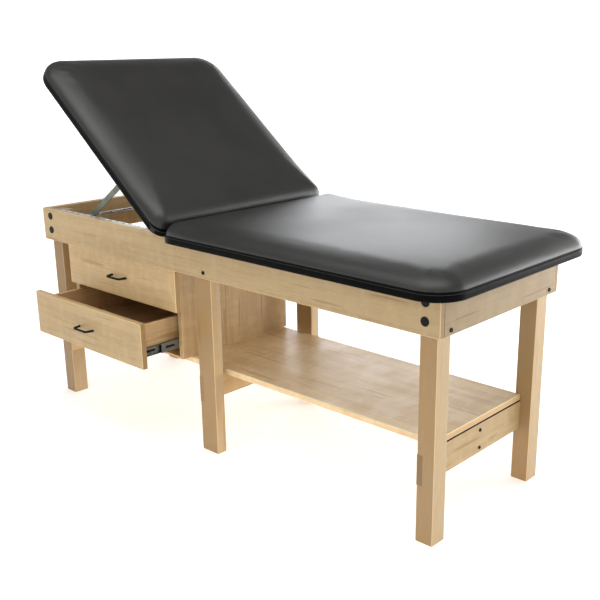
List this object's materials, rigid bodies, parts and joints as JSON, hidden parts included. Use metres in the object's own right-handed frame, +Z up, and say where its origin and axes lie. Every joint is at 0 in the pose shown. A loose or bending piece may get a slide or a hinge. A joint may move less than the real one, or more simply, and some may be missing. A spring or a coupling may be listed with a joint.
{
  "type": "medical exam table",
  "caption": "Wooden treatment table with a padded seat, a padded backrest raised on a ratchet prop, drawers in a cabinet and a full-length shelf.",
  "frame": {"origin": "centre of the stored object's plan, on the floor", "axes": "+X to the foot end, +Y to the rear, away from the drawer fronts, +Z up"},
  "size_m": [1.866, 0.837, 1.2556],
  "materials": {
    "maple": "clear satin lacquer on light maple",
    "shelf_board": "clear satin lacquer on maple veneer",
    "ply_deck": "plain plywood",
    "drawer_ply": "clear lacquered plywood",
    "vinyl": "charcoal upholstery vinyl, soft sheen",
    "grey_steel": "grey-green painted steel",
    "bright_steel": "bright plated steel",
    "zinc": "zinc plated sheet steel",
    "black_metal": "black powder coat",
    "black_plastic": "matt black plastic"
  },
  "bodies": {
    "root": {"front_side_rail": "maple", "rear_side_rail": "maple", "head_end_rail": "maple", "foot_end_rail": "maple", "seat_support_rail": "maple", "front_left_leg": "maple", "rear_left_leg": "maple", "front_middle_leg": "maple", "rear_middle_leg": "maple", "front_right_leg": "maple", "rear_right_leg": "maple", "bolt_caps": "black_plastic", "leg_bolts": "bright_steel", "rail_screws": "black_metal", "head_cross_rail": "maple", "middle_cross_rail": "maple", "foot_cross_rail": "maple", "centre_stretchers": "maple", "stretcher_screws": "black_metal", "shelf": "shelf_board", "shelf_strips": "black_plastic", "seat_deck": "ply_deck", "seat_pad": "vinyl", "seat_hinge_leaves": "bright_steel", "hinge_pins": "bright_steel", "ratchet_tracks": "zinc", "cabinet_left_panel": "maple", "cabinet_right_panel": "maple", "cabinet_top_panel": "maple", "cabinet_bottom_panel": "maple", "cabinet_back_panel": "drawer_ply", "slide_outer_members": "zinc"},
    "backrest": {"back_pad": "vinyl", "back_deck": "ply_deck", "back_hinge_leaves": "bright_steel", "prop_brackets": "grey_steel", "prop_pivot_pins": "bright_steel"},
    "prop": {"prop_struts": "grey_steel", "prop_foot_rod": "bright_steel"},
    "lower_drawer": {"lower_drawer_front": "maple", "lower_drawer_sub_front": "drawer_ply", "lower_drawer_left_side": "drawer_ply", "lower_drawer_right_side": "drawer_ply", "lower_drawer_back": "drawer_ply", "lower_drawer_bottom": "drawer_ply", "lower_drawer_handle": "black_metal", "lower_drawer_handle_screws": "bright_steel", "lower_slide_inner_members": "zinc"},
    "lower_slide_middle": {"lower_slide_middle_members": "zinc"},
    "upper_drawer": {"upper_drawer_front": "maple", "upper_drawer_sub_front": "drawer_ply", "upper_drawer_left_side": "drawer_ply", "upper_drawer_right_side": "drawer_ply", "upper_drawer_back": "drawer_ply", "upper_drawer_bottom": "drawer_ply", "upper_drawer_handle": "black_metal", "upper_drawer_handle_screws": "bright_steel", "upper_slide_inner_members": "zinc"},
    "upper_slide_middle": {"upper_slide_middle_members": "zinc"}
  },
  "joints": [
    {"name": "backrest_hinge", "type": "hinge", "parent": "root", "child": "backrest", "pos_m": [-0.143, 0.0375, 0.739], "axis": [0, 1, 0], "range_deg": [-39, 21]},
    {"name": "prop_pivot", "type": "hinge", "parent": "backrest", "child": "prop", "pos_m": [-0.41445, 0.0375, 0.92021], "axis": [0, 1, 0], "range_deg": [-40, 74.3]},
    {"name": "lower_drawer_slide", "type": "slide", "parent": "root", "child": "lower_drawer", "axis": [0, -1, 0], "range_m": [-0.147, 0.253]},
    {"name": "upper_drawer_slide", "type": "slide", "parent": "root", "child": "upper_drawer", "axis": [0, -1, 0], "range_m": [0, 0.4]},
    {"name": "lower_middle_slide", "type": "slide", "parent": "root", "child": "lower_slide_middle", "axis": [0, -1, 0], "range_m": [-0.0735, 0.1265]},
    {"name": "upper_middle_slide", "type": "slide", "parent": "root", "child": "upper_slide_middle", "axis": [0, -1, 0], "range_m": [0, 0.2]}
  ],
  "couplings": [
    {"joint": "prop_pivot", "follows": "backrest_hinge", "ratio": -1.9022},
    {"joint": "lower_middle_slide", "follows": "lower_drawer_slide", "ratio": 0.5},
    {"joint": "upper_middle_slide", "follows": "upper_drawer_slide", "ratio": 0.5}
  ]
}
